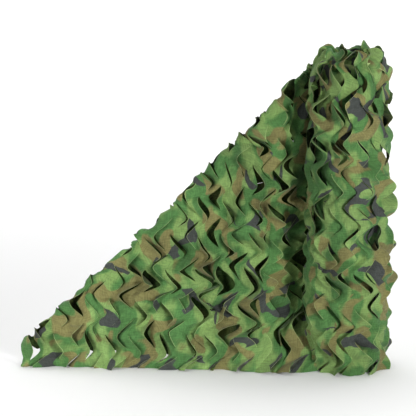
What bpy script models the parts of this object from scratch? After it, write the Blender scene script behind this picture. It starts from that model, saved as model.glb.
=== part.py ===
"""Camouflage net of slit woven cloth, standing on the end of its roll, with its loose end pulled out.

The origin is under the middle of the roll, +X points away from the loose end, +Z up. The front is at -Y.
The cloth is cut by staggered slits into wavy ribbons that run from the top edge to the hem, and opens as a
net. The loose end goes to the left. It folds back along a ridge that falls from the roll's top to a tip, and
stands like the sides of a tent.
"""

import math

import bmesh
import bpy
import numpy as np

CLOTH_SOLID = 0.0026  # thickness that stands for one layer with its curled edges

WAVES = 9.2  # waves of a ribbon between the hem and the top edge
ROWS_A_WAVE = 5
ROWS = 46
WAVE_LENGTH = 0.163
FALL_SHARE = 0.45  # part of a wave in which a ribbon rises to the right
CORNER = 0.93  # nearer to 1 makes the corners of the slits sharper
ODD_START = 1  # row where the first slit of an odd boundary starts, next to its bridge
EVEN_START = 3

ROLL_RIBBONS = 18
ROLL_TOP = 1.505
SLIT_HALF = 0.005  # half of the step's width where one ribbon laps the next on the roll
ROLL_DRIFT = 0.26  # how far a ribbon strays from its place on the roll, in ribbons
DRIFT_ROUND = 1.9  # places around the roll, and how fast they change up a wave
DRIFT_UP = 0.7
ROLL_LAP = (0.008, 0.026, 0.009)  # least and most that a lapping edge stands out, and the other's inset
LEAF_OUT = 0.038  # how far the few leaves stand out
LEAF_CHANCE = 0.16
LEAF_WAVES = 6.0  # no leaves above these waves
WAIST_HEIGHT = 1.17  # a tighter place on the roll's right
WAIST_REACH = 0.14
WAIST_DEPTH = 0.014

WELL_PITCH = 0.046  # distance between turns, seen on the roll's end
WELL_RINGS = 10
WELL_RIDGE = 0.012  # height of a turn's edge, up and down from the middle
WELL_RIM = 0.010  # rise of the first ring over the wall's last row
WELL_TUFT = 0.010
WELL_DEPTH = 0.075

LOOSE_RIBBONS = 17
TIP_REACH = 1.560  # how far left the flat cloth's end lies, before it is folded
FOLD_RADIUS = 0.020  # of the fold along the ridge
RIDGE_INSET = 0.012  # room for the curled edges outside the fold
FLAP_STRETCH = 1.08
FLAP_LEAN = 0.13
LAYER_GAP = 0.036  # least distance of the flap from the front layer
SOFT_MEET = 0.0004
SLANT = math.sqrt(0.5)  # the ridge falls at 45 degrees
FLAT_DRIFT = 0.32
RISE_DRIFT = 0.020
LEAN = 0.4  # ribbons of the loose end lean to the left near the floor, and less higher up
LEAN_FADE = 2.0
LOOSE_UNEVEN = 0.010  # depth of the loose end's bumps
GAP_LEAST = 0.13  # of the loose end's slits, in ribbons
GAP_RANGE = 0.12
WIDE_ALL = 0.12  # added to the wider slits
WIDE_LOW = 0.42  # added to those near the roll and the floor
LOOSE_LAP = (0.008, 0.022, 0.008)
LEFT_OVER = 0.68  # share of the loose end's slits where the left edge is over the right one
CALM_REACH = 0.05  # next to the ridge the slits' edges lie together
CALM_START = 0.6
HIDDEN_RIBBONS = 5  # behind the roll the slits' edges lie together too
BENT_REACH = 0.09  # next to the ridge a ribbon also bends along its centre

# height and radius of the wound form, from the floor up
ROLL_PROFILE = (
    # height, radius
    (0.00, 0.184),
    (0.25, 0.197),
    (0.70, 0.194),
    (1.10, 0.187),
    (1.32, 0.180),
    (1.42, 0.173),
    (ROLL_TOP, 0.148),
)

# the uneven top edge of the loose end
RIDGE_OUT = (
    # along the ridge from the tip to the roll, out from the foot of the roll
    (-1.130, 1.070),
    (-1.090, 1.130),
    (-1.050, 1.178),
    (-1.000, 1.186),
    (-0.930, 1.172),
    (-0.800, 1.175),
    (-0.650, 1.175),
    (-0.500, 1.168),
    (-0.350, 1.162),
    (-0.200, 1.158),
    (-0.050, 1.145),
    (0.100, 1.155),
    (0.200, 1.148),
    (0.300, 1.158),
    (0.400, 1.143),
    (0.550, 1.153),
    (0.700, 1.153),
    (0.800, 1.148),
    (0.950, 1.135),
)

# where the loose end starts behind the roll
ROOT = (
    # height, x
    (0.00, -0.120),
    (0.35, -0.050),
    (0.85, -0.020),
    (1.60, -0.020),
)

# depth of the front layer, with a row for each share of the way from the roll to the ridge
FRONT_DEPTH = (
    # share, y at the top, at 0.4 down, at 0.75 down, at the floor
    (0.00, 0.172, 0.172, 0.165, -0.095),
    (0.12, 0.196, 0.190, 0.160, -0.150),
    (0.19, 0.195, 0.184, 0.092, -0.135),
    (0.27, 0.191, 0.150, 0.034, -0.112),
    (0.37, 0.181, 0.080, 0.006, -0.082),
    (0.60, 0.148, 0.046, 0.010, -0.055),
    (0.80, 0.104, 0.040, 0.020, -0.045),
    (1.00, 0.046, 0.036, 0.030, -0.025),
)
DEPTH_DOWN = (0.0, 0.4, 0.75, 1.0)
FRONT_HEIGHT = 1.4
RIDGE_FOOT = 1.62  # the ridge's x is its height less this


def chance(i, k, salt):
    """Fixed numbers from 0 to 1 for ribbons i at waves k."""
    i, k = np.asarray(i, dtype=np.int64), np.asarray(k, dtype=np.int64)
    mixed = (i * 73856093) ^ (k * 19349663) ^ (salt * 83492791)
    mixed = (mixed ^ (mixed >> 13)) * 1274126177 % 4294967296
    return (mixed >> 8) % 4096 / 4095


def uneven(x, y, salt):
    """Smooth bumps from -1 to 1, about one unit wide."""
    i, j = np.floor(x).astype(np.int64), np.floor(y).astype(np.int64)
    s, t = x - i, y - j
    s = s * s * (3 - 2 * s)
    t = t * t * (3 - 2 * t)
    low = chance(i, j, salt) * (1 - s) + chance(i + 1, j, salt) * s
    high = chance(i, j + 1, salt) * (1 - s) + chance(i + 1, j + 1, salt) * s
    return 2 * (low * (1 - t) + high * t) - 1


def smooth_read(places, values, at):
    """Values at places along the smooth curve through the given points."""
    places, values = np.asarray(places, float), np.asarray(values, float)
    slopes = np.gradient(values, places, axis=0)
    at = np.clip(at, places[0], places[-1])
    i = np.clip(np.searchsorted(places, at, side="right") - 1, 0, len(places) - 2)
    span = places[i + 1] - places[i]
    t = (at - places[i]) / span
    if values.ndim > 1:
        v0, v1 = (np.take_along_axis(values, k[None], 0)[0] for k in (i, i + 1))
        s0, s1 = (np.take_along_axis(slopes, k[None], 0)[0] for k in (i, i + 1))
    else:
        v0, v1, s0, s1 = values[i], values[i + 1], slopes[i], slopes[i + 1]
    start = (1 + 2 * t) * (1 - t) ** 2 * v0 + t * (1 - t) ** 2 * span * s0
    end = t * t * (3 - 2 * t) * v1 - t * t * (1 - t) * span * s1
    return start + end


def read_table(table, column, at):
    return smooth_read([row[0] for row in table], [row[column] for row in table], at)


def swing(wave):
    """Sideways place of a ribbon, from -0.5 to 0.5: a zigzag with round corners."""
    turn = wave % 1.0
    falling = 0.5 + (turn - FALL_SHARE) / (1 - FALL_SHARE) / 2
    even = np.where(turn < FALL_SHARE, turn / FALL_SHARE / 2, falling)
    return np.arcsin(-CORNER * np.cos(2 * math.pi * even)) / math.asin(CORNER) / 2


def slit_opening(boundary, row):
    """How far the slit between two ribbons is open at a row, from 0 on its bridges to 1, and its number."""
    start = np.where(boundary % 2 == 1, ODD_START, EVEN_START)
    number, step = np.divmod(row - start, ROWS_A_WAVE)
    share = step / (ROWS_A_WAVE - 1)
    return np.where(step < ROWS_A_WAVE - 1, np.sin(math.pi * share), 0.0), number


def lapped(boundary, number, left_share, lap):
    """How far the left and the right edge of a slit stand out: one laps over the other."""
    least, most, lean_in = lap
    left_over = chance(boundary, number, 66) < left_share
    out = least + (most - least) * chance(boundary, number, 62) ** 1.5
    inward = -lean_in * (0.5 + chance(boundary, number, 63))
    return np.where(left_over, out, inward), np.where(left_over, inward, out)


def roll_point(radius, angle, height):
    """Angle 0 is the front and turns to the right."""
    return np.stack([radius * np.sin(angle), -radius * np.cos(angle), height + 0 * radius], axis=-1)


def roll_radius(height, angle):
    waist = np.exp(-(((height - WAIST_HEIGHT) / WAIST_REACH) ** 2)) * np.clip(np.sin(angle), 0.0, 1.0) ** 3
    lumps = 0.0045 * np.sin(2 * angle + 3.1 * height) + 0.0035 * np.sin(3 * angle - 7.3 * height + 1.0)
    return read_table(ROLL_PROFILE, 1, height) + lumps - WAIST_DEPTH * waist


def roll_wall():
    """Points of the wall for each row, two at each slit for the edges of the ribbons beside it."""
    row = np.arange(ROWS + 1)[:, None]
    boundary = np.arange(ROLL_RIBBONS)[None, :]
    wave = row / ROWS_A_WAVE
    around = 2 * math.pi * boundary / ROLL_RIBBONS
    drift = uneven(DRIFT_ROUND * np.sin(around), DRIFT_ROUND * np.cos(around) + DRIFT_UP * wave, 41)
    bent = boundary + swing(wave) + ROLL_DRIFT * drift
    angle = 2 * math.pi * bent / ROLL_RIBBONS
    height = ROLL_TOP * row / ROWS + 0 * angle
    opened, number = slit_opening(boundary, row)
    out_left, out_right = lapped(boundary, number, 0.62 + 0.30 * np.sin(around), ROLL_LAP)
    leaf = (chance(boundary, number, 1) > 1.0 - LEAF_CHANCE) & (wave < LEAF_WAVES)
    out_left = np.where(leaf & (out_left > 0), LEAF_OUT, out_left)
    out_right = np.where(leaf & (out_right > 0), LEAF_OUT, out_right)
    radius = roll_radius(height, angle)
    half = SLIT_HALF / radius
    left = roll_point(radius + out_left * opened, angle - half, height)
    right = roll_point(radius + out_right * opened, angle + half, height)
    return np.stack([left, right], axis=2).reshape(ROWS + 1, 2 * ROLL_RIBBONS, 3)


def well_ring(rim, step):
    """One ring of the roll's top end, whose turns show as a spiral ridge."""
    angle = np.arctan2(rim[:, 0], -rim[:, 1])
    rim_radius = np.hypot(rim[:, 0], rim[:, 1])
    radius = rim_radius * (1.0 - step / (WELL_RINGS + 1.0))
    turns = (rim_radius - radius) / WELL_PITCH - angle / (2 * math.pi)
    ridge = WELL_RIDGE * np.cos(2 * math.pi * turns)
    ribbon = np.arange(len(angle)) // 2
    tuft = WELL_TUFT * (chance(ribbon, ribbon * 0 + step // 4, 3) - 0.5)
    sunk = WELL_DEPTH * (step / WELL_RINGS) ** 2
    return roll_point(radius, angle, ROLL_TOP + WELL_RIM + ridge + tuft - sunk)


def wound_roll(collection):
    """The wound form as one closed body, with its ribbons raised and its turns on the top end."""
    wall = roll_wall()
    rings = [*wall, *(well_ring(wall[-1], step) for step in range(1, WELL_RINGS + 1))]
    bm = bmesh.new()
    loops = [[bm.verts.new(point) for point in ring] for ring in rings]
    count = 2 * ROLL_RIBBONS
    for lower, upper in zip(loops, loops[1:]):
        for i in range(count):
            after = (i + 1) % count
            bm.faces.new((lower[i], lower[after], upper[after], upper[i]))
    foot = bm.verts.new((0.0, 0.0, 0.0))
    middle = bm.verts.new((0.0, 0.0, ROLL_TOP - WELL_DEPTH))
    for i in range(count):
        after = (i + 1) % count
        bm.faces.new((loops[0][after], loops[0][i], foot))
        bm.faces.new((loops[-1][i], loops[-1][after], middle))
    return finished(bm, "camouflage_net", collection)


def front_depth(x, z):
    """How far back the front layer lies."""
    down = np.clip(1.0 - z / FRONT_HEIGHT, 0.0, 1.0)
    root = read_table(ROOT, 1, z)
    share = np.clip((root - x) / (root - (z - RIDGE_FOOT)), 0.0, 1.0)
    depths = np.stack([read_table(FRONT_DEPTH, column, share) for column in (1, 2, 3, 4)])
    folds = 0.010 * np.sin(26 * share + 5 * down) * np.sin(math.pi * share)
    return smooth_read(DEPTH_DOWN, depths, down) + folds


def flat_point(u, v):
    """The unfolded loose end at ribbon u, counted from the tip to the roll, and wave v, from the hem up."""
    warp = uneven(u * 0.55 + 3, v * 0.65, 51)
    height = v * WAVE_LENGTH + RISE_DRIFT * uneven(u * 0.6 + 9, v * 0.6, 53) * np.minimum(1.0, v)
    inner = np.clip(np.minimum(u, LOOSE_RIBBONS - u), 0.0, 1.0)
    reach = 1.0 - (u + (swing(v) + FLAT_DRIFT * warp) * (0.4 + 0.6 * inner)) / LOOSE_RIBBONS
    lean = LEAN * height / (1.0 + LEAN_FADE * height) * 4.0 * reach**2 * (1.0 - reach)
    x = read_table(ROOT, 1, height) * (1.0 - reach) - TIP_REACH * reach + lean
    return x, height


def past_ridge(x, z):
    """Place along the ridge, the fold's start there, and how far past it the point of the flat cloth lies."""
    along, out = (x + z) * SLANT, (z - x) * SLANT
    crest = read_table(RIDGE_OUT, 1, along) - FOLD_RADIUS - RIDGE_INSET
    return along, crest, out - crest


def from_fold(u, v):
    """Distance of a point of the flat cloth from the middle of the fold."""
    return past_ridge(*flat_point(u, v))[2] - FOLD_RADIUS * math.pi / 2


def loose_point(u, v):
    """The loose end, folded back along the ridge."""
    along, crest, past = past_ridge(*flat_point(u, v))
    turn = np.clip(past / FOLD_RADIUS, 0.0, math.pi)
    over = np.maximum(past - math.pi * FOLD_RADIUS, 0.0)
    out = crest + np.where(past < 0, past, FOLD_RADIUS * np.sin(turn) - FLAP_STRETCH * over)
    x, z = (along - out) * SLANT, (along + out) * SLANT
    front = front_depth(x, z)
    ridge = front_depth((along - crest) * SLANT, (along + crest) * SLANT)
    flap = ridge + 2 * FOLD_RADIUS + FLAP_LEAN * over
    least = front + LAYER_GAP
    flap = (flap + least + np.sqrt((flap - least) ** 2 + SOFT_MEET)) / 2
    share = np.clip((1.0 - np.cos(turn)) / 2, 0.0, 1.0)
    y = front * (1.0 - share) + flap * share + LOOSE_UNEVEN * uneven(u * 0.55 + 1.7, v * 0.5, 52)
    return np.stack([x, y, z], axis=-1)


def loose_end():
    """The pulled-out end as an open sheet, opened at its slits."""
    row = np.arange(ROWS + 1)[None, :]
    boundary = np.arange(LOOSE_RIBBONS + 1)[:, None]
    v = row / ROWS_A_WAVE + 0.0 * boundary
    opened, number = slit_opening(boundary, row)
    opened = np.where((boundary == 0) | (boundary == LOOSE_RIBBONS), 0.0, opened)
    low = 1.0 - v / WAVES
    near_roll = np.exp(-(((boundary - 13.0) / 3.0) ** 2))
    wide = (chance(boundary, number, 61) > 0.60) * (WIDE_LOW * near_roll * low**2 + WIDE_ALL)
    gap = GAP_LEAST + GAP_RANGE * chance(boundary, number, 64) + wide
    out_left, out_right = lapped(boundary, number, LEFT_OVER, LOOSE_LAP)
    calm = np.clip(np.abs(from_fold(boundary + 0.0 * v, v)) / CALM_REACH - CALM_START, 0.0, 1.0)
    calm = calm * np.clip((LOOSE_RIBBONS - boundary) / HIDDEN_RIBBONS, 0.3, 1.0)
    sides = []
    for side, out in ((-1, out_left), (1, out_right)):
        u = boundary + side * gap * opened / 2
        base = loose_point(u, v)
        reach = 0.05
        across = loose_point(u + reach, v) - loose_point(u - reach, v)
        upward = loose_point(u, v + reach) - loose_point(u, v - reach)
        normal = np.cross(across, upward)
        normal /= np.linalg.norm(normal, axis=-1, keepdims=True)
        sides.append(base + normal * (out * opened * calm)[..., None])
    centre = np.arange(LOOSE_RIBBONS)[:, None] + 0.5
    centre_v = row / ROWS_A_WAVE + 0.0 * centre
    centre_u = centre + 0.0 * centre_v
    centre_points = loose_point(centre_u, centre_v)
    bent = np.abs(from_fold(centre_u, centre_v)) < BENT_REACH
    bm = bmesh.new()
    lefts = [[bm.verts.new(point) for point in line] for line in sides[0]]
    rights = [
        [lefts[i][j] if opened[i, j] == 0 else bm.verts.new(sides[1][i, j]) for j in range(ROWS + 1)]
        for i in range(LOOSE_RIBBONS + 1)
    ]
    for i in range(LOOSE_RIBBONS):
        centres = [bm.verts.new(centre_points[i, j]) if bent[i, j] else None for j in range(ROWS + 1)]
        for j in range(ROWS):
            ribbon_piece(bm, rights[i][j : j + 2], centres[j : j + 2], lefts[i + 1][j : j + 2])
    return bm


def ribbon_piece(bm, starts, centres, ends):
    """Faces of a ribbon between two rows, with points along its centre where it bends over the ridge."""
    low, high = centres
    if low and high:
        bm.faces.new((starts[0], low, high, starts[1]))
        bm.faces.new((low, ends[0], ends[1], high))
    elif low:
        bm.faces.new((starts[0], low, starts[1]))
        bm.faces.new((low, ends[0], ends[1], starts[1]))
    elif high:
        bm.faces.new((starts[0], high, starts[1]))
        bm.faces.new((starts[0], ends[0], ends[1], high))
    else:
        bm.faces.new((starts[0], ends[0], ends[1], starts[1]))


def finished(bm, name, collection):
    mesh = bpy.data.meshes.new(name)
    bm.to_mesh(mesh)
    bm.free()
    piece = bpy.data.objects.new(name, mesh)
    collection.objects.link(piece)
    return piece


def applied(piece, collection):
    """The piece as the viewport shows it, as a plain mesh in a new object."""
    bpy.context.view_layer.update()
    evaluated = piece.evaluated_get(bpy.context.evaluated_depsgraph_get())
    mesh = bpy.data.meshes.new_from_object(evaluated)
    name = piece.name
    bpy.data.objects.remove(piece)
    made = bpy.data.objects.new(name, mesh)
    collection.objects.link(made)
    return made


def rest_on_floor(piece):
    """Flattens what would reach below the floor."""
    for point in piece.data.vertices:
        point.co.z = max(point.co.z, 0.0)


def cloth_material():
    material = bpy.data.materials.new("camouflage_cloth")
    material.use_nodes = True
    shader = material.node_tree.nodes["Principled BSDF"]
    shader.inputs["Base Color"].default_value = (0.10, 0.24, 0.08, 1.0)
    shader.inputs["Roughness"].default_value = 0.75
    shader.inputs["Metallic"].default_value = 0.0
    return material


def collection_named(name):
    made = bpy.data.collections.new(name)
    bpy.context.scene.collection.children.link(made)
    return made


def build():
    for old in list(bpy.data.objects):
        bpy.data.objects.remove(old, do_unlink=True)
    parts = collection_named("camouflage_net")
    cutters = collection_named("cutters")

    sheet = finished(loose_end(), "loose_end", cutters)
    walls = sheet.modifiers.new("cloth", "SOLIDIFY")
    walls.thickness = CLOTH_SOLID
    walls.offset = 0.0
    sheet = applied(sheet, cutters)
    rest_on_floor(sheet)
    sheet.hide_render = True
    sheet.display_type = "WIRE"

    net = wound_roll(parts)
    joined = net.modifiers.new("loose end", "BOOLEAN")
    joined.operation = "UNION"
    joined.solver = "MANIFOLD"
    joined.object = sheet
    net.data.materials.append(cloth_material())
    net.data.shade_smooth()
    net.data.set_sharp_from_angle(angle=math.radians(40))


build()
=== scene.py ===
import math

import bpy
import numpy as np
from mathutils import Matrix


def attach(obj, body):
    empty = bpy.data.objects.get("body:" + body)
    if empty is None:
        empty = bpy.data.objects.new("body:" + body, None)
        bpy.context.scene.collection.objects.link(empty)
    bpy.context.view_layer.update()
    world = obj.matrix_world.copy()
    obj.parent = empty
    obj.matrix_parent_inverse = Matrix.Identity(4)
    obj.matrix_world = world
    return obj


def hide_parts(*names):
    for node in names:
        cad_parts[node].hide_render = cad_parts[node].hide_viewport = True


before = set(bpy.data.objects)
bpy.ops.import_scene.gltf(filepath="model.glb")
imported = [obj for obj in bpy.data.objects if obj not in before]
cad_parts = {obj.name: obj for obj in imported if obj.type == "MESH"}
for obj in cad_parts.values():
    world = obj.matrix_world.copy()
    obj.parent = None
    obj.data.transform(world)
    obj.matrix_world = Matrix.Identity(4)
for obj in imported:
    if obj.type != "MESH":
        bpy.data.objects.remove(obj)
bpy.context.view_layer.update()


# The stage: a pale floor, an even white room and soft lights, with a long lens a little above the net.
# The net stands on the floor, so the camera is aimed at the middle of its height, left of the roll.
METRES_A_PIXEL = 0.00475
FRAME_PIXELS = 416
AIM = (-0.660, 0.0, 0.772)
RISE = math.radians(11)
LENS_AWAY = 9.0
SENSOR = 36.0

camera_data = bpy.data.cameras.new("view")
camera_data.sensor_width = SENSOR
camera_data.lens = SENSOR * LENS_AWAY / (METRES_A_PIXEL * FRAME_PIXELS)
camera = bpy.data.objects.new("view", camera_data)
camera.location = (AIM[0], AIM[1] - LENS_AWAY * math.cos(RISE), AIM[2] + LENS_AWAY * math.sin(RISE))
camera.rotation_euler = (math.radians(90) - RISE, 0.0, 0.0)
bpy.context.scene.collection.objects.link(camera)
bpy.context.scene.camera = camera
bpy.context.scene.view_settings.view_transform = "Standard"


class Value:
    """A number, colour, vector or light from a node. Sums on numbers add nodes."""

    def __init__(self, finish, socket):
        self.finish = finish
        self.socket = socket

    def sum(self, operation, first, second):
        return self.finish.node("ShaderNodeMath", {"operation": operation}, {0: first, 1: second})

    def __add__(self, other):
        return self.sum("ADD", self, other)

    def __sub__(self, other):
        return self.sum("SUBTRACT", self, other)

    def __rsub__(self, other):
        return self.sum("SUBTRACT", other, self)

    def __mul__(self, other):
        return self.sum("MULTIPLY", self, other)

    __radd__ = __add__
    __rmul__ = __mul__

    def step(self, start, end):
        """0 below start, 1 above end, and a soft rise between."""
        settings = {"interpolation_type": "SMOOTHSTEP"}
        return self.finish.node("ShaderNodeMapRange", settings, {0: self, 1: start, 2: end})


class Finish:
    """The nodes of a material, or of the room's light."""

    def __init__(self, owner):
        owner.use_nodes = True
        self.tree = owner.node_tree

    def node(self, kind, settings, inputs, output=0):
        """A new node, with its settings made before its inputs are set, and the value that it gives."""
        made = self.tree.nodes.new(kind)
        for key, setting in settings.items():
            setattr(made, key, setting)
        for place, given in inputs.items():
            self.set(made.inputs[place], given)
        return Value(self, made.outputs[output])

    def set(self, socket, given):
        """Links a value to a socket, or gives it a fixed number or colour."""
        if isinstance(given, Value):
            self.tree.links.new(given.socket, socket)
        else:
            socket.default_value = given


WHITE = (1.0, 1.0, 1.0, 1.0)
ROOM_SIDES = 0.02  # light on the net from the room's sides, and from its ceiling
ROOM_CEILING = 0.16
WALL = 0.93  # how white the room looks to the camera

room = bpy.data.worlds.new("room")
room_finish = Finish(room)
facing = room_finish.node("ShaderNodeTexCoord", {}, {})
upward_share = room_finish.node("ShaderNodeSeparateXYZ", {}, {0: facing}, 2)
strength = room_finish.node("ShaderNodeMapRange", {}, {0: upward_share, 3: ROOM_SIDES, 4: ROOM_CEILING})
room_light = room.node_tree.nodes["Background"]
room_finish.set(room_light.inputs["Color"], WHITE)
room_finish.set(room_light.inputs["Strength"], strength)
wall = room_finish.node("ShaderNodeBackground", {}, {"Color": WHITE, "Strength": WALL})
seen = room_finish.node("ShaderNodeLightPath", {}, {})
soft_light = Value(room_finish, room_light.outputs[0])
either = room_finish.node("ShaderNodeMixShader", {}, {0: seen, 1: soft_light, 2: wall})
room_finish.set(room.node_tree.nodes["World Output"].inputs[0], either)
bpy.context.scene.world = room

FLOOR_SIZE = 70.0
FLOOR_WHITE = 0.92

bpy.ops.object.select_all(action="DESELECT")
bpy.ops.mesh.primitive_plane_add(size=FLOOR_SIZE, location=(0.0, 0.0, -0.0005))
floor = bpy.context.object
floor.name = "floor"
floor_paint = bpy.data.materials.new("floor_paint")
floor_finish = Finish(floor_paint)
floor_shader = floor_paint.node_tree.nodes["Principled BSDF"]
floor_finish.set(floor_shader.inputs["Base Color"], (FLOOR_WHITE, FLOOR_WHITE, FLOOR_WHITE, 1.0))
floor_finish.set(floor_shader.inputs["Roughness"], 0.9)
floor.data.materials.append(floor_paint)


def lamp(name, place, size, watts, target, spread=180.0):
    """A square soft box at place that faces target."""
    light_data = bpy.data.lights.new(name, "AREA")
    light_data.size = size
    light_data.spread = math.radians(spread)
    light_data.energy = watts
    light = bpy.data.objects.new(name, light_data)
    light.location = place
    aim = [t - p for t, p in zip(target, place)]
    flat_reach = math.hypot(aim[0], aim[1])
    light.rotation_euler = (math.atan2(flat_reach, -aim[2]), 0.0, math.atan2(-aim[0], aim[1]))
    bpy.context.scene.collection.objects.link(light)


lamp("key", (2.4, -4.5, 2.1), 0.5, 208.0, (-0.5, 0.0, 0.6))
lamp("fill", (-3.6, -3.8, 0.9), 1.4, 6.5, (-1.25, 0.0, 0.2), 32.0)
lamp("background", (-0.6, 14.5, 6.0), 26.0, 2100.0, (-0.6, 14.5, 0.0))

sky_data = bpy.data.lights.new("overhead", "SUN")
sky_data.energy = 1.3
sky_data.angle = math.radians(60)
sky = bpy.data.objects.new("overhead", sky_data)
sky.rotation_euler = (math.radians(-8), 0.0, 0.0)
bpy.context.scene.collection.objects.link(sky)


# The roll's outer turn: woven polyester, printed on its face with four woodland colours that show through on
# its back as olive; the back is also painted much darker, as painted shade. Staggered S-shaped slits are cut
# hot, so their sealed edges are a little paler, and an edge that stands out is paler still, as a painted
# highlight.
# It is wound with the print outside, and at the top its ribbons are tucked over the rim into the roll.
CLOTH_WIDTH = 1.50
CLOTH_THICK = 0.0007
RIBBON_PITCH = 0.075  # from one ribbon to the next, on the flat cloth
WAVES = 9.2  # of the slits' zigzag over the width of the cloth
WAVE_LENGTH = CLOTH_WIDTH / WAVES


def paint(red, green, blue):
    """A colour given in 8-bit steps above 10, as the linear light that a shader takes."""
    return tuple(((c / 255 + 0.055) / 1.055) ** 2.4 for c in (red, green, blue)) + (1.0,)


def mixed(finish, share, first, second, blend="MIX"):
    """Two colours in one: share of the second."""
    settings = {"data_type": "RGBA", "blend_type": blend}
    return finish.node("ShaderNodeMix", settings, {0: share, 6: first, 7: second}, 2)


def moved(finish, vector, offset):
    """A place on the cloth, moved."""
    return finish.node("ShaderNodeVectorMath", {"operation": "ADD"}, {0: vector, 1: offset})


def stretched(finish, vector, sizes):
    """A place on the cloth, scaled along and up."""
    return finish.node("ShaderNodeVectorMath", {"operation": "MULTIPLY"}, {0: vector, 1: sizes})


def clouds(finish, vector, scale, detail=0.0, output=0):
    """Soft noise with about scale clouds in a metre."""
    inputs = {"Vector": vector, "Scale": scale, "Detail": detail}
    return finish.node("ShaderNodeTexNoise", {"noise_dimensions": "3D"}, inputs, output)


LIGHT_GREEN = paint(136, 170, 96)
MID_GREEN = paint(84, 133, 70)
TAN = paint(136, 132, 80)
STONE_GREY = paint(70, 75, 71)
OLIVE = paint(78, 112, 20)
# the pale rim colour of the slits: their hot-sealed edge, lightened further as a painted highlight
SEALED_EDGE_AND_HIGHLIGHT = paint(190, 206, 140)

GREEN_FIELDS = 9.5  # clouds in a metre, for each colour of the print
TAN_FIELDS = 8.5
GREY_FINGERS = 6.2
BEND_CLOUDS = 11.0
BEND = 0.05  # how far the bends move the outlines
GREEN_EDGE = (0.46, 0.58)  # noise at which a colour starts and is full: far apart for a soft outline
TAN_EDGE = (0.548, 0.592)
FINGER_EDGE = (0.054, 0.062)
PATCH_EDGE = (0.568, 0.580)
TAN_PLACE = (3.1, 7.7, 0.0)  # moves that keep the colours' noises apart
FINGER_PLACE = (9.4, 2.3, 0.0)
PATCH_PLACE = (5.5, 1.2, 0.0)


def print_colour(finish, flat):
    """The woodland print on the flat cloth: soft green and tan fields under crisp grey fingers."""
    drift = clouds(finish, flat, BEND_CLOUDS, 2.0, 1)
    bend = finish.node("ShaderNodeVectorMath", {"operation": "SCALE"}, {0: drift, "Scale": BEND})
    bent = moved(finish, flat, bend)
    greens = clouds(finish, stretched(finish, bent, (1.0, 0.8, 1.0)), GREEN_FIELDS, 1.0).step(*GREEN_EDGE)
    browns = clouds(finish, moved(finish, bent, TAN_PLACE), TAN_FIELDS, 1.0).step(*TAN_EDGE)
    finger_place = stretched(finish, moved(finish, bent, FINGER_PLACE), (0.8, 1.15, 1.0))
    line = clouds(finish, finger_place, GREY_FINGERS) - 0.5
    band = finish.node("ShaderNodeMath", {"operation": "ABSOLUTE"}, {0: line})
    patches = clouds(finish, moved(finish, flat, PATCH_PLACE), GREY_FINGERS).step(*PATCH_EDGE)
    fingers = (1.0 - band.step(*FINGER_EDGE)) * patches
    ground = mixed(finish, greens, MID_GREEN, LIGHT_GREEN)
    ground = mixed(finish, browns, ground, TAN)
    return mixed(finish, fingers, ground, STONE_GREY)


THREAD = 0.0011  # from one thread to the next
THREAD_SCALE = 0.314 / THREAD  # a wave texture repeats after 0.314 divided by its scale
SLUB_LONG = 30.0  # thick places in the threads: clouds in a metre along a thread and across it
SLUB_THIN = 190.0
CRUMPLES = 30.0
CRUMPLE_HEIGHT = 0.006


def threads_one_way(finish, flat, direction):
    """Ridges of the threads that lie side by side in a direction."""
    inputs = {"Vector": flat, "Scale": THREAD_SCALE, "Distortion": 0.0}
    return finish.node("ShaderNodeTexWave", {"bands_direction": direction}, inputs, 1)


def weave(finish, flat):
    """Height of the plain weave: threads over and under in both directions."""
    across = threads_one_way(finish, flat, "X")
    along = threads_one_way(finish, flat, "Y")
    return across * along + (1.0 - across) * (1.0 - along)


def cloth_finish(name, olive_share, brightness):
    """One side of the cloth: print with lighter patches, partly faded by use and partly painted light and
    shade within the ribbons, with its weave, slubs, crumples and pale sealed edges that also carry a painted
    highlight.
    """
    material = bpy.data.materials.new(name)
    finish = Finish(material)
    shader = material.node_tree.nodes["Principled BSDF"]
    flat = finish.node("ShaderNodeUVMap", {"uv_map": "flat"}, {})
    threads = weave(finish, flat)
    colour = mixed(finish, olive_share, print_colour(finish, flat), OLIVE)
    # Lighter patches: partly fading by use, partly painted light and shade that stand in for shading across
    # the ribbons.
    worn_and_painted_shade_patches = clouds(finish, flat, 3.0, 2.0).step(0.3, 0.75)
    weft = clouds(finish, stretched(finish, flat, (SLUB_LONG, SLUB_THIN, 1.0)), 1.0, 1.0)
    warp = clouds(finish, stretched(finish, flat, (SLUB_THIN, SLUB_LONG, 1.0)), 1.0, 1.0)
    slubs = (weft + warp).step(0.7, 1.3)
    level = worn_and_painted_shade_patches * 0.20 + threads * 0.08 + slubs * 0.28 + brightness
    shade = finish.node("ShaderNodeCombineColor", {}, {0: level, 1: level, 2: level})
    colour = mixed(finish, 1.0, colour, shade, "MULTIPLY")
    # Pale rims along the slits: the sealed edge, and a painted highlight that is strongest where the edge
    # stands out.
    cut = finish.node("ShaderNodeAttribute", {"attribute_name": "cut"}, {}, 2)
    colour = mixed(finish, cut.step(0.3, 1.0) * 0.5, colour, SEALED_EDGE_AND_HIGHLIGHT)
    finish.set(shader.inputs["Base Color"], colour)
    finish.set(shader.inputs["Roughness"], 0.92 - threads * 0.14 - worn_and_painted_shade_patches * 0.1)
    finish.set(shader.inputs["Specular IOR Level"], 0.28)
    finish.set(shader.inputs["Sheen Weight"], 0.08)
    relief = threads * 0.06 + slubs * 0.10 + clouds(finish, flat, CRUMPLES, 2.0)
    bump = {"Strength": 0.6, "Distance": CRUMPLE_HEIGHT, "Height": relief}
    finish.set(shader.inputs["Normal"], finish.node("ShaderNodeBump", {}, bump))
    return material


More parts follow.
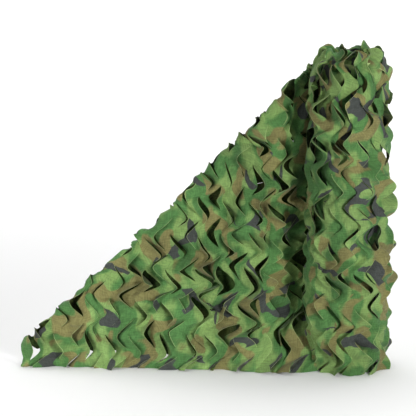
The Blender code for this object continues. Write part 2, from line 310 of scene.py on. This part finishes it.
# The back is the olive show-through of the print, and its low brightness paints it far darker than that, as
# painted shade in the gaps and hollows where it is seen.
face_side = cloth_finish("camouflage_print", 0.0, 0.44)
back_side_painted_dark = cloth_finish("print_from_behind_painted_dark", 0.65, 0.06)


def chance(i, k, salt):
    """A fixed number from 0 to 1 for ribbon i at wave k, or for arrays. salt tells one use from another."""
    ribbon, wave = np.asarray(i, dtype=np.int64), np.asarray(k, dtype=np.int64)
    mixed_up = (ribbon * 73856093) ^ (wave * 19349663) ^ (salt * 83492791)
    mixed_up = (mixed_up ^ (mixed_up >> 13)) * 1274126177 % 4294967296
    return (mixed_up >> 8) % 4096 / 4095


def uneven(x, y, salt):
    """Smooth noise from -1 to 1 on a grid of unit cells."""
    i, j = np.floor(x).astype(np.int64), np.floor(y).astype(np.int64)
    s, t = x - i, y - j
    s, t = s * s * (3 - 2 * s), t * t * (3 - 2 * t)
    low = chance(i, j, salt) * (1 - s) + chance(i + 1, j, salt) * s
    high = chance(i, j + 1, salt) * (1 - s) + chance(i + 1, j + 1, salt) * s
    return 2 * (low * (1 - t) + high * t) - 1


def smooth_read(places, values, at):
    """Values along the smooth curve through given points. values may have more axes after its first."""
    places, values = np.asarray(places, float), np.asarray(values, float)
    slopes = np.gradient(values, places, axis=0)
    at = np.clip(at, places[0], places[-1])
    i = np.clip(np.searchsorted(places, at, side="right") - 1, 0, len(places) - 2)
    span = places[i + 1] - places[i]
    t = (at - places[i]) / span
    if values.ndim > 1:
        here = [np.take_along_axis(a, b[None], 0)[0] for a in (values, slopes) for b in (i, i + 1)]
        start_value, end_value, start_slope, end_slope = here
    else:
        start_value, end_value, start_slope, end_slope = values[i], values[i + 1], slopes[i], slopes[i + 1]
    start = (1 + 2 * t) * (1 - t) ** 2 * start_value + t * (1 - t) ** 2 * span * start_slope
    end = t * t * (3 - 2 * t) * end_value - t * t * (1 - t) * span * end_slope
    return start + end


def read_table(table, column, at):
    """A column of a table, read smoothly at places in its first column."""
    return smooth_read([row[0] for row in table], [row[column] for row in table], at)


FALL_SHARE = 0.45  # part of a wave in which a ribbon rises to the right
CORNER = 0.88  # nearer to 1 makes the corners of the slits sharper


def swing(wave):
    """Sideways place of a ribbon, from -0.5 to 0.5: a zigzag with round corners."""
    turn = wave % 1.0
    rising = turn / FALL_SHARE / 2
    falling = 0.5 + (turn - FALL_SHARE) / (1 - FALL_SHARE) / 2
    even = np.where(turn < FALL_SHARE, rising, falling)
    return np.arcsin(-CORNER * np.cos(2 * math.pi * even)) / math.asin(CORNER) / 2


ODD_START, EVEN_START = 0.2, 0.6  # where in a wave the slits of every other boundary start
SLIT_WAVES = 0.8  # length of a slit; the rest of a wave is the bridge that joins two ribbons


def slit_share(boundary, wave):
    """Place along the slit between two ribbons, from 0 to 1 and 0 on the bridges, and the slit's number."""
    start = np.where(boundary % 2 == 1, ODD_START, EVEN_START)
    count = np.floor(wave - start + 1e-9)
    share = (wave - start - count) / SLIT_WAVES
    return np.where((share > 1e-6) & (share < 1 - 1e-6), share, 0.0), count.astype(np.int64)


def surface(place, u, v):
    """Points of a smooth surface and its unit normals, which point to the side of the print."""
    reach = 0.03
    base = place(u, v)
    along = place(u + reach, v) - place(u - reach, v)
    upward = place(u, v + reach) - place(u, v - reach)
    normal = np.cross(along, upward)
    return base, normal / np.maximum(np.linalg.norm(normal, axis=-1, keepdims=True), 1e-9)


def cloth_piece(name, points, faces, flat, cut):
    """A sheet with its thickness, its printed face and its back, laid out flat in its UV map."""
    mesh = bpy.data.meshes.new(name)
    mesh.from_pydata(points.tolist(), [], faces.tolist())
    mesh.uv_layers.new(name="flat").data.foreach_set("uv", flat.ravel())
    mesh.attributes.new("cut", "FLOAT", "POINT").data.foreach_set("value", cut.ravel())
    piece = bpy.data.objects.new(name, mesh)
    bpy.context.scene.collection.objects.link(piece)
    for material in (face_side, back_side_painted_dark):
        mesh.materials.append(material)
    bpy.ops.object.select_all(action="DESELECT")
    bpy.context.view_layer.objects.active = piece
    piece.select_set(True)
    walls = piece.modifiers.new("cloth", "SOLIDIFY")
    walls.thickness = CLOTH_THICK
    walls.offset = -1.0
    walls.material_offset = 1
    walls.material_offset_rim = 0
    bpy.ops.object.modifier_apply(modifier="cloth")
    bpy.ops.object.shade_smooth_by_angle(angle=math.radians(50))
    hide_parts("camouflage_net")
    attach(piece, "root")
    return piece


ROWS_A_WAVE = 20
ACROSS = np.array((0.0, 0.06, 0.2, 0.38, 0.56, 0.74, 0.88, 0.95, 1.0))  # where a ribbon's faces part
CURL_POWER = 1.6  # how close to its edge a ribbon curls
PALE_AND_LIT_FROM = 1 / 60  # an edge that stands out this far shows its pale sealed rim, with its painted highlight, in full
LEAST_HEIGHT = 0.0006


def sagged(u, v):
    """How far the cloth bulges and crumples, out of its smooth surface."""
    bulge = 0.012 * uneven(u * 0.9 + 7, v * 1.2, 31) + 0.011 * uneven(u * 1.9, v * 2.5, 34)
    crumple = 0.0018 * uneven(u * 4.1, v * 6.2, 32) + 0.0008 * uneven(u * 9.0, v * 14.0, 33)
    return bulge + crumple


def slit_cloth(name, place, ribbons, waves, slits, first_ribbon, loop=False):
    """A sheet cut into ribbons. place gives its smooth surface for arrays of (ribbons along the cloth, waves
    up it). slits takes arrays of (boundary, slit number, wave). It gives how far a slit gapes, and for its
    left edge and then its right one how far each stands out, in metres, and is drawn back. The gape and the
    drawing back are in ribbon widths."""
    wave = np.arange(round(waves * ROWS_A_WAVE) + 1) / ROWS_A_WAVE
    ribbon = np.arange(ribbons)[:, None, None]
    up = wave[None, :, None]
    across = ACROSS[None, None, :]
    flat_u = ribbon + across + 0 * up
    flat_v = up + 0 * flat_u
    edges = []
    for side in (0, 1):
        boundary = ribbon + side + 0 * up
        share, number = slit_share(boundary, up + 0 * boundary)
        if loop:
            boundary = boundary % ribbons
        else:
            share = np.where((boundary == 0) | (boundary == ribbons), 0.0, share)
        edges.append((np.sin(math.pi * share) ** 0.8, *slits(boundary, number, up + 0 * boundary)))
    open_left, gap_left, _, _, out_left, back_left = edges[0]
    open_right, gap_right, out_right, back_right, _, _ = edges[1]
    u = flat_u + gap_left * open_left * (1 - across) / 2 - gap_right * open_right * across / 2
    u = u + back_left * open_left * (1 - across) ** 3 - back_right * open_right * across**3
    base, normal = surface(place, u, flat_v)
    curl = out_right * open_right * across**CURL_POWER + out_left * open_left * (1 - across) ** CURL_POWER
    points = base + normal * (curl + sagged(flat_u, flat_v))[..., None]
    points[..., 2] = np.maximum(points[..., 2], LEAST_HEIGHT)

    index = np.arange(points[..., 0].size).reshape(points.shape[:3])
    joined = index.copy()
    for i in range(0 if loop else 1, ribbons):
        shut = open_left[i, :, 0] == 0
        joined[i, shut, 0] = index[i - 1, shut, -1]
    first, second = slice(None, -1), slice(1, None)
    round_a_face = ((first, first), (first, second), (second, second), (second, first))
    faces = np.stack([joined[:, a, b] for a, b in round_a_face], axis=-1).reshape(-1, 4)
    flat_corners = np.stack([index[:, a, b] for a, b in round_a_face], axis=-1).reshape(-1)
    used, faces = np.unique(faces, return_inverse=True)
    # The pale rim is painted only on an edge that stands out, and fuller the further out it stands: a
    # painted highlight on the sealed edge.
    cut = np.zeros(index.shape)
    cut[..., 0] = np.where(open_left > 0, np.clip(out_left / PALE_AND_LIT_FROM, 0.0, 1.0), 0.0)[..., 0]
    cut[..., -1] = np.where(open_right > 0, np.clip(out_right / PALE_AND_LIT_FROM, 0.0, 1.0), 0.0)[..., 0]
    flat_x = (swing(flat_v) + flat_u + first_ribbon) * RIBBON_PITCH
    flat = np.stack([flat_x, flat_v * WAVE_LENGTH], axis=-1).reshape(-1, 2)[flat_corners]
    return cloth_piece(name, points.reshape(-1, 3)[used], faces.reshape(-1, 4), flat, cut.reshape(-1)[used])


ROLL_RIBBONS = 18
ROLL_WAVES = 10.2  # a little more than the cloth is wide, because the ribbons are stretched over the rim
ROLL_PROFILE = (
    # waves up, radius, height
    (0.00, 0.184, 0.000),
    (1.55, 0.197, 0.250),
    (4.35, 0.194, 0.700),
    (6.84, 0.187, 1.100),
    (8.20, 0.180, 1.325),
    (8.75, 0.174, 1.425),
    (9.15, 0.158, 1.488),
    (9.45, 0.132, 1.520),
    (9.75, 0.104, 1.516),
    (10.20, 0.086, 1.450),
)
WAIST_HEIGHT = 1.17  # a narrow place on the roll's right side
WAIST_DEPTH = 0.014
LEFT_PRESS = 0.008  # how far the loose end presses the roll in on its left


def ruffled(wave):
    """How much the ribbons are ruffled: most where the roll's end has been handled."""
    return np.clip((wave - 6.3) / 1.6, 0.0, 1.0)


def lumps(height, angle):
    """How far the roll's wall bulges or gives way."""
    waist = np.exp(-(((height - WAIST_HEIGHT) / 0.14) ** 2)) * np.clip(np.sin(angle), 0.0, 1.0) ** 3
    pressed = np.clip(-np.sin(angle), 0.0, 1.0) ** 2
    waves = 0.0045 * np.sin(2 * angle + 3.1 * height) + 0.0035 * np.sin(3 * angle - 7.3 * height + 1.0)
    return waves - WAIST_DEPTH * waist - LEFT_PRESS * pressed


def wound(inset, shift):
    """Surface of a turn of the roll, inset from the outer one and turned by shift. Angle 0 is the front, and
    angles grow to the right."""

    def place(u, v):
        """The ribbons wander a little, and more where they are ruffled."""
        around = 2 * math.pi * u / ROLL_RIBBONS
        side, front = np.sin(around), np.cos(around)
        bent_u = u + swing(v) + 0.26 * uneven(1.9 * side + shift, 1.9 * front + v * 0.7, 41)
        bent_u = bent_u + (0.14 + 0.3 * ruffled(v)) * uneven(4.1 * side, 4.1 * front + v * 1.3, 44)
        bent_v = v + 0.12 * uneven(1.9 * side + 5, 1.9 * front + v * 0.7, 43) * np.minimum(1, v)
        bent_v = bent_v + 0.22 * ruffled(v) * uneven(3.7 * side, 3.7 * front + v * 1.1, 45)
        angle = 2 * math.pi * bent_u / ROLL_RIBBONS + shift
        height = read_table(ROLL_PROFILE, 2, bent_v)
        radius = read_table(ROLL_PROFILE, 1, bent_v) + lumps(height, angle) - inset
        return np.stack([radius * np.sin(angle), -radius * np.cos(angle), height], axis=-1)

    return place


def lapped(boundary, number, left_share, least, most, lean_in):
    """How far the two edges of a slit stand out: one laps over the other."""
    left_over = chance(boundary, number, 66) < left_share
    out = least + (most - least) * chance(boundary, number, 62) ** 1.5
    inward = -lean_in * (0.5 + chance(boundary, number, 63))
    return np.where(left_over, out, inward), np.where(left_over, inward, out)


def tipped(boundary, wave, reach):
    """Each ribbon also tips about its length. How far that takes the two edges of a slit out or in."""
    left = reach * uneven((boundary - 1) * 1.37, wave * 1.7 + (boundary - 1) * 0.61, 35)
    right = reach * uneven(boundary * 1.37, wave * 1.7 + boundary * 0.61, 35)
    return left, -right


ROLL_LEAF_OUT = 0.056  # how far a leaf stands out from the roll, and how far it is drawn back from its slit
ROLL_LEAF_BACK = 0.28
ROLL_EDGE_BACK = 0.05
MOST_OUT = 0.042


def roll_slits(boundary, number, wave):
    """Mostly narrow slits, one edge lapped by the other, with a few gaping ones and standing leaves. The
    right side has leaves low down, and its slits are closed higher up. The left side lies flatter."""
    angle = 2 * math.pi * boundary / ROLL_RIBBONS
    side = np.sin(angle)
    to_left, to_right = np.clip(-side, 0.0, 1.0) ** 2, np.clip(side, 0.0, 1.0) ** 2
    gape = chance(boundary, number, 11)
    gap = np.where(gape > 0.84, 0.30, -0.10 + 0.22 * gape)
    opened = (boundary > 0) & (boundary < 4) & (wave > 7.0) & (wave < 8.8)
    gap = gap + (0.30 + 0.35 * opened) * ruffled(wave) * chance(boundary, number, 12)

    leaf = chance(boundary, number, 1) > 0.84
    bare = (np.abs(angle - math.pi / 2) < 0.7) & (wave > 6.0) & (wave < 8.2)
    right_leaf = ((boundary == 4) & (number > 2) & (number < 5)) | ((boundary == 5) & (number < 3))
    leaf = np.where(bare, False, leaf | right_leaf)
    back = np.where(leaf, ROLL_LEAF_BACK, ROLL_EDGE_BACK)
    closed = (side > 0.75) & (wave > 4.5)
    gap, back = np.where(closed, -0.12, gap), np.where(closed, 0.0, back)

    out_a, out_b = lapped(boundary, number, 0.62 + 0.30 * side, 0.011, 0.030, 0.010)
    out_a = np.where(leaf & (out_a > 0), ROLL_LEAF_OUT, out_a)
    out_b = np.where(leaf & (out_b > 0), ROLL_LEAF_OUT, out_b)
    tip_a, tip_b = tipped(boundary, wave, 0.030 + 0.042 * ruffled(wave))
    most = (MOST_OUT - 0.012 * np.clip(wave - 8.6, 0.0, 1.0)) * (1.0 - 0.7 * to_left)
    most = most + (0.016 - 0.024 * ruffled(wave)) * to_right
    return gap, np.minimum(out_a + tip_a, most), back, np.minimum(out_b + tip_b, most), back


outer_turn = slit_cloth("net_outer_turn", wound(0.0, 0.0), ROLL_RIBBONS, ROLL_WAVES, roll_slits, 0, True)


# The turn beneath it, seen through the slits: the same printed cloth, drawn in by the turn above, with its
# ribbons nearly flat and its slits almost shut.
UNDER_INSET = 0.034
UNDER_SHIFT = 0.17  # radians round the roll, so that the slits of the two turns don't meet
UNDER_PRINT = 7  # ribbons along the print


def under_slits(boundary, number, wave):
    """Slits that gape very little."""
    out_a, out_b = lapped(boundary, number, 0.7, 0.004, 0.008, 0.003)
    return 0.05 + 0 * wave, out_a, 0 * wave, out_b, 0 * wave


under_place = wound(UNDER_INSET, UNDER_SHIFT)
under_turn = slit_cloth("net_under_turn", under_place, ROLL_RIBBONS, WAVES, under_slits, UNDER_PRINT, True)


# The loose end: the same cloth, pulled out to the left, stands on the floor from the roll to a tip. Past a
# ridge that falls from the roll's top to the tip it is folded back, and stands behind on the floor, as the
# other side of a tent does. Its curled ribbons hold it up.
LOOSE_RIBBONS = 24
TIP_REACH = 1.576  # how far left the flat cloth's end lies, before it is folded
RISE_DRIFT = 0.026  # how far the waves wander up and down
FLAT_DRIFT = 0.38  # how far the ribbons wander sideways, in ribbon widths
LEAN = 0.4
FOLD_RADIUS = 0.020
RIDGE_INSET = 0.012
JAGGED = 0.015
FLAP_STRETCH = 1.24  # the folded part reaches this much further, down to the floor
FLAP_LEAN = 0.13
FLAP_BACK = 0.230  # past this depth the folded part stands steeper
LAYER_GAP = 0.042
SLANT = math.sqrt(0.5)
RIDGE_OUT = (
    # along the ridge from the tip to the roll, out from the foot of the roll
    (-1.130, 1.070),
    (-1.090, 1.130),
    (-1.050, 1.178),
    (-1.000, 1.186),
    (-0.930, 1.172),
    (-0.800, 1.175),
    (-0.650, 1.175),
    (-0.500, 1.168),
    (-0.350, 1.162),
    (-0.200, 1.158),
    (-0.050, 1.145),
    (0.100, 1.155),
    (0.200, 1.148),
    (0.300, 1.158),
    (0.400, 1.143),
    (0.550, 1.153),
    (0.700, 1.153),
    (0.800, 1.148),
    (0.950, 1.135),
)
ROOT = (
    # height, x of the loose end's start behind the roll
    (0.00, -0.120),
    (0.35, -0.050),
    (0.85, -0.020),
    (1.60, -0.020),
)
FRONT_TOP = 1.4  # height from which the depths are counted down
RIDGE_LINE = 1.62  # height of the ridge's line above the roll's middle
FRONT_DEPTH = (
    # share from the roll to the ridge, y at the top, at 0.4 down, at 0.75 down, at the floor
    (0.00, 0.172, 0.172, 0.165, -0.095),
    (0.12, 0.196, 0.190, 0.160, -0.150),
    (0.19, 0.195, 0.184, 0.092, -0.135),
    (0.27, 0.191, 0.150, 0.034, -0.112),
    (0.37, 0.181, 0.080, 0.006, -0.082),
    (0.60, 0.148, 0.046, 0.010, -0.055),
    (0.80, 0.104, 0.040, 0.020, -0.045),
    (1.00, 0.046, 0.036, 0.030, -0.025),
)
DEPTH_DOWN = (0.0, 0.4, 0.75, 1.0)


def front_depth(x, z):
    """How far back the front layer lies."""
    down = np.clip(1.0 - z / FRONT_TOP, 0.0, 1.0)
    root = read_table(ROOT, 1, z)
    share = np.clip((root - x) / (root - (z - RIDGE_LINE)), 0.0, 1.0)
    depths = np.stack([read_table(FRONT_DEPTH, column, share) for column in (1, 2, 3, 4)])
    ripples = 0.010 * np.sin(26 * share + 5 * down) * np.sin(math.pi * share)
    return smooth_read(DEPTH_DOWN, depths, down) + ripples


def flat_point(u, v):
    """The unfolded loose end at ribbon u, counted from the tip to the roll, and wave v, from the hem up."""
    warp = uneven(u * 0.47 + 3, v * 0.65, 51) + 0.9 * uneven(u * 1.1, v * 1.5, 54)
    rise = uneven(u * 0.51 + 9, v * 0.6, 53) + 0.7 * uneven(u * 0.9, v * 1.3, 55)
    height = v * WAVE_LENGTH + RISE_DRIFT * rise * np.minimum(1.0, v)
    inner = np.clip(np.minimum(u, LOOSE_RIBBONS - u), 0.0, 1.0)
    drawn_open = np.exp(-(((u - 14) / 5) ** 2 + (v - 2.5) ** 2))
    sway = swing(v) * (1.0 + 0.45 * uneven(u * 0.6 + 1, v * 0.8, 57) + 0.5 * drawn_open)
    reach = 1.0 - (u + (sway + FLAT_DRIFT * warp) * (0.4 + 0.6 * inner)) / LOOSE_RIBBONS
    lean = LEAN * height / (1.0 + 2.0 * height) * 4.0 * reach**2 * (1.0 - reach)
    x = read_table(ROOT, 1, height) * (1.0 - reach) - TIP_REACH * reach + lean
    return x, height


def past_ridge(x, z):
    """For a point of the flat cloth: its place along the ridge, where the fold starts there, and how far
    past that it lies."""
    along, out = (x + z) * SLANT, (z - x) * SLANT
    jagged = JAGGED * uneven(along * 17, 0 * along, 56) * np.clip((along + 1.05) / 0.2, 0.0, 1.0)
    crest = read_table(RIDGE_OUT, 1, along) - FOLD_RADIUS - RIDGE_INSET + jagged
    return along, crest, out - crest


def loose_place(u, v):
    """The loose end, folded back along the ridge."""
    along, crest, past = past_ridge(*flat_point(u, v))
    turn = np.clip(past / FOLD_RADIUS, 0.0, math.pi)
    over = np.maximum(past - math.pi * FOLD_RADIUS, 0.0)
    out = crest + np.where(past < 0, past, FOLD_RADIUS * np.sin(turn) - FLAP_STRETCH * over)
    x, z = (along - out) * SLANT, (along + out) * SLANT
    front = front_depth(x, z)
    ridge = front_depth((along - crest) * SLANT, (along + crest) * SLANT)
    flap = ridge + 2 * FOLD_RADIUS + FLAP_LEAN * over
    least = front + LAYER_GAP
    flap = (flap + least + np.sqrt((flap - least) ** 2 + 0.0004)) / 2
    flap = np.minimum(flap, FLAP_BACK + 0.5 * (flap - FLAP_BACK))
    share = np.clip((1.0 - np.cos(turn)) / 2, 0.0, 1.0)
    y = front * (1.0 - share) + flap * share + 0.010 * uneven(u * 0.55 + 1.7, v * 0.5, 52)
    return np.stack([x, y, z], axis=-1)


LOOSE_LEAF_OUT = 0.052
BEHIND_GAP = -0.30  # the slits of the folded part are shut
TIP_GAP = 0.5  # the first slit of the tip, which stands open as an arch


def loose_slits(boundary, number, wave):
    """Slits that gape more towards the floor, most of all near the roll. Their edges are calmer along the
    ridge, and behind it and at the hem the slits are shut or narrow."""
    low = np.clip(1.0 - wave / WAVES, 0.0, 1.0)
    high = np.clip((wave - 6.0) / 2.0, 0.0, 1.0)
    hem = np.clip((wave - 0.3) / 1.8, 0.0, 1.0)
    near_roll = np.exp(-(((boundary - 16.0) / 5.0) ** 2))
    wide = (chance(boundary, number, 61) > 0.45) * (0.60 * near_roll * low**1.6 + 0.07)
    gap = -0.07 + (0.24 * chance(boundary, number, 64) ** 2 + wide) * hem
    gap = np.where((boundary == 1) & (number == 0), TIP_GAP, gap)
    from_fold = past_ridge(*flat_point(boundary, wave))[2] - FOLD_RADIUS * math.pi / 2
    gap = np.where(from_fold > FOLD_RADIUS, BEHIND_GAP, gap)

    calm = np.clip(np.abs(from_fold) / 0.05 - 0.2, 0.55, 1.0) * np.where(from_fold > 0.0, 0.35, 1.0)
    leaf = chance(boundary, number, 65) > 0.72
    out_a, out_b = lapped(boundary, number, 0.72, 0.018, 0.044, 0.014)
    out_a = np.where(leaf & (out_a > 0), LOOSE_LEAF_OUT, out_a)
    out_b = np.where(leaf & (out_b > 0), LOOSE_LEAF_OUT, out_b)
    tip_a, tip_b = tipped(boundary, wave, (0.024 + 0.020 * low + 0.024 * high) * hem)
    back = np.where(leaf, 0.10 + 0.25 * low**2, 0.03) * hem
    return gap, (out_a + tip_a) * calm, back, (out_b + tip_b) * calm, back


loose_end = slit_cloth("net_loose_end", loose_place, LOOSE_RIBBONS, WAVES, loose_slits, ROLL_RIBBONS)


# The inner turns, seen from above in the roll's end: the same printed cloth, wound to its middle. Its upper
# edge stands lower towards the middle, and is uneven where the ribbons end.
TURN_PITCH = 0.019
TURNS = 6
CORE_OUTSIDE = 0.138
STEPS_A_TURN = 40
MIDDLE_DROP = 0.035
CORE_ROWS = np.array((0.002, 0.5, 1.0, 1.25, 1.34, 1.40, 1.44, 1.47))  # heights of its rows of points


def inner_turns():
    """One wound sheet."""
    turn = np.linspace(0.0, TURNS, TURNS * STEPS_A_TURN + 1)[:, None]
    angle = 2 * math.pi * turn
    radius = CORE_OUTSIDE - TURN_PITCH * turn + 0.003 * uneven(turn * 9, 0 * turn, 71)
    drop = MIDDLE_DROP * ((CORE_OUTSIDE - radius) / CORE_OUTSIDE)
    drop = drop + 0.016 * uneven(turn * 13, 0 * turn + 3, 72)
    level = CORE_ROWS[None, :] / CORE_ROWS[-1]
    height = level * (CORE_ROWS[-1] - drop)
    spread = radius + 0.004 * uneven(turn * 11 + 2, level * 14, 73) * level
    points = np.stack([spread * np.sin(angle), -spread * np.cos(angle), height], axis=-1)
    index = np.arange(height.size).reshape(height.shape)
    round_a_face = (index[:-1, :-1], index[1:, :-1], index[1:, 1:], index[:-1, 1:])
    faces = np.stack(round_a_face, axis=-1).reshape(-1, 4)
    flat = np.stack([0 * height + turn * 0.9, height], axis=-1).reshape(-1, 2)
    cut = np.zeros(index.shape)
    # The upper edge takes the pale rim in full: its sealed edge, with the painted highlight of the rim
    # colour.
    cut[:, -1] = 1.0
    return cloth_piece("net_inner_turns", points.reshape(-1, 3), faces, flat[faces.reshape(-1)], cut)


core = inner_turns()
